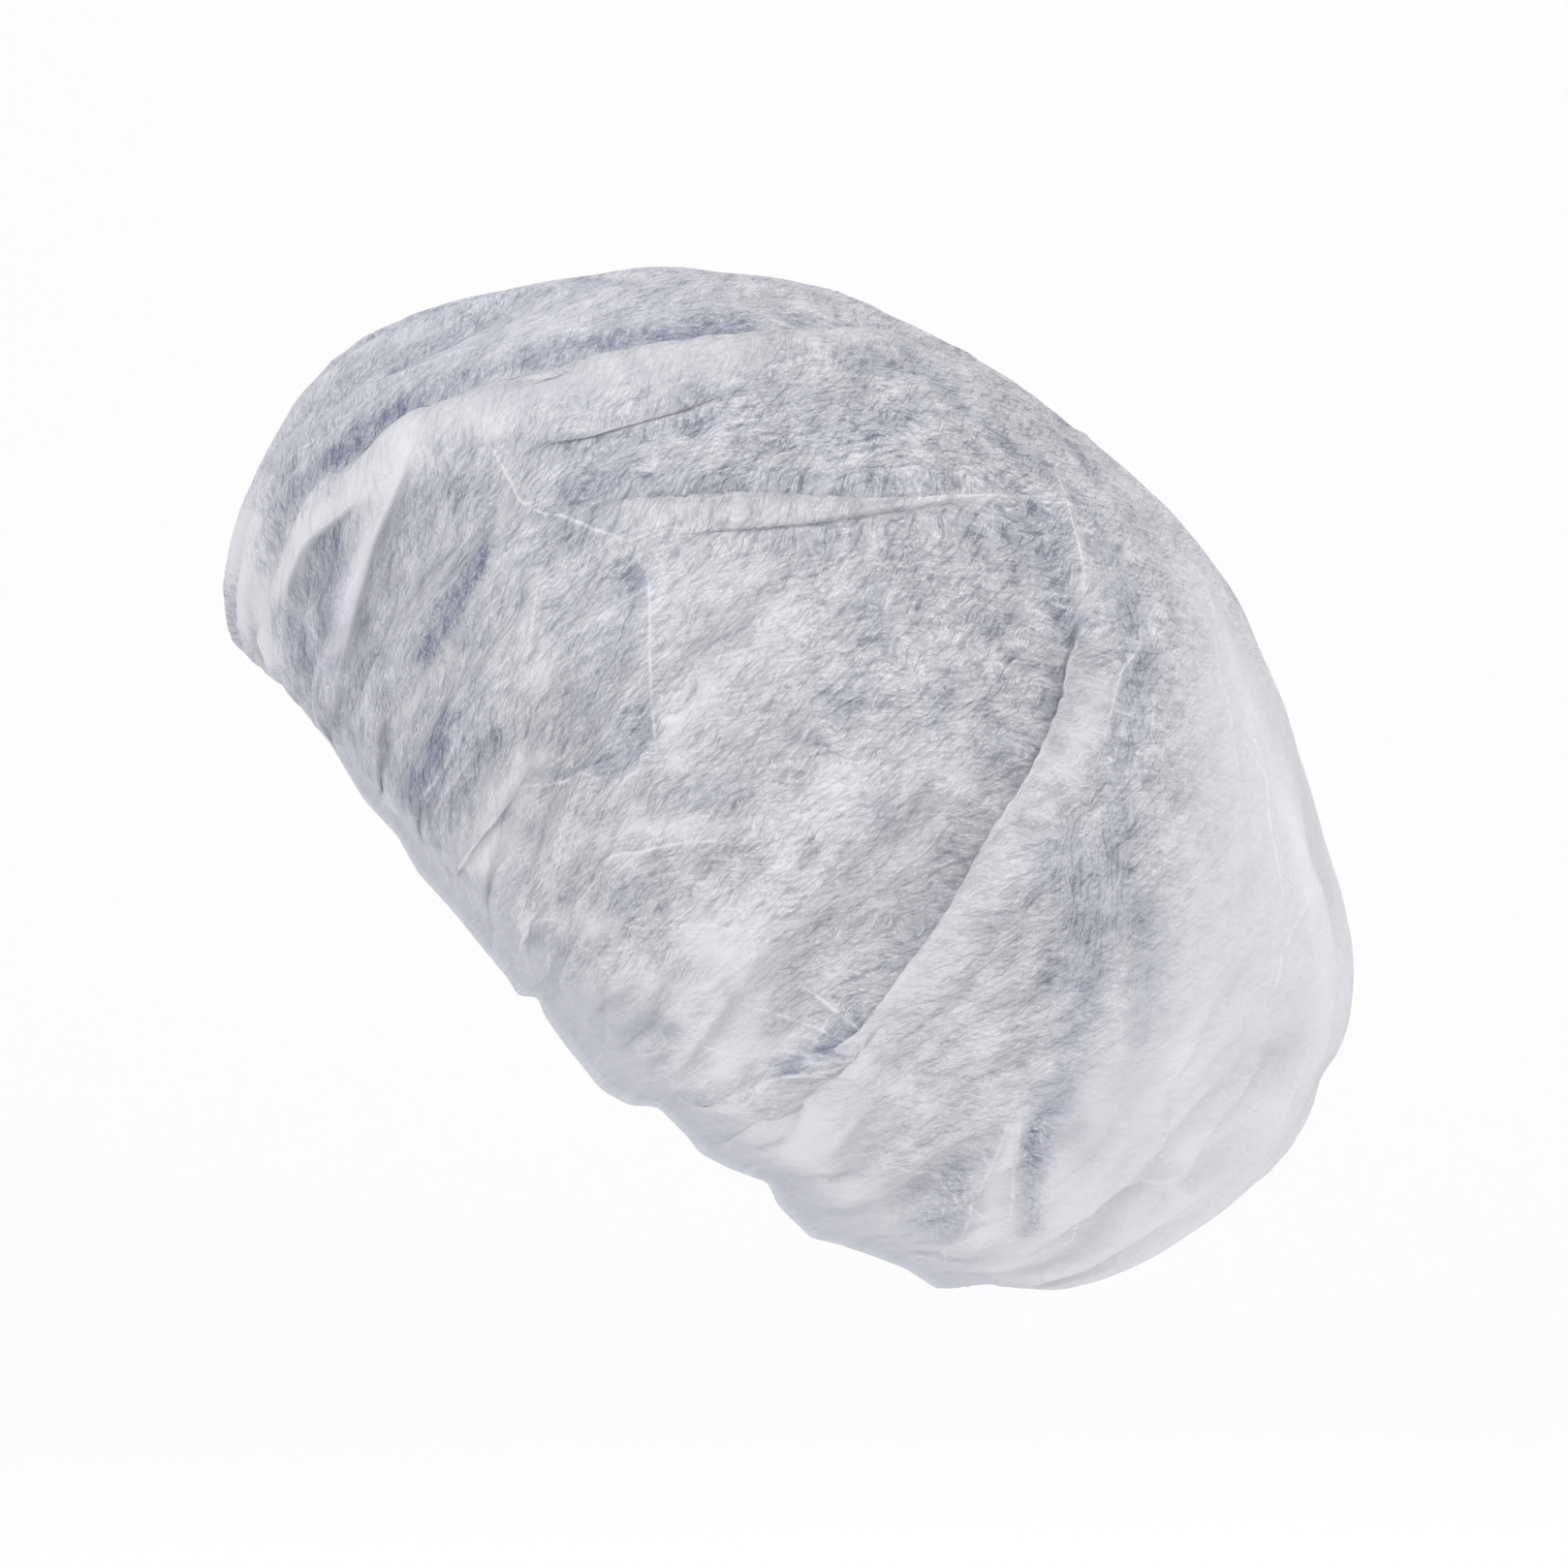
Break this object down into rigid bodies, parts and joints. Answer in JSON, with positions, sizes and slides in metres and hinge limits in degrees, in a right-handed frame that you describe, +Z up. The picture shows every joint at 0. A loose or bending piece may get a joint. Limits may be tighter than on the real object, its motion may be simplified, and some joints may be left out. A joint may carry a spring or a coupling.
{
  "type": "bouffant cap",
  "caption": "Disposable bouffant cap of thin white nonwoven cloth: a puffed, creased crown gathered by an elastic in a turned hem, shown in its worn form.",
  "frame": {"origin": "centre of the head opening, in the plane of the hem's lower edge", "axes": "+Z up as worn, -Y to the front, +X to the left side as worn; the opening slopes down 41.3 degrees from front to back"},
  "size_m": [0.2211, 0.259, 0.2345],
  "materials": {
    "cloth": "thin white spunbond nonwoven, slightly see-through, matt with a faint sheen on its creases",
    "turned_cloth": "the same cloth doubled, denser and slightly bluer",
    "elastic": "flat white elastic with a fine lengthwise rib, matt"
  },
  "bodies": {
    "root": {"crown": "cloth", "hem_casing": "turned_cloth", "elastic_band": "elastic"}
  },
  "joints": []
}
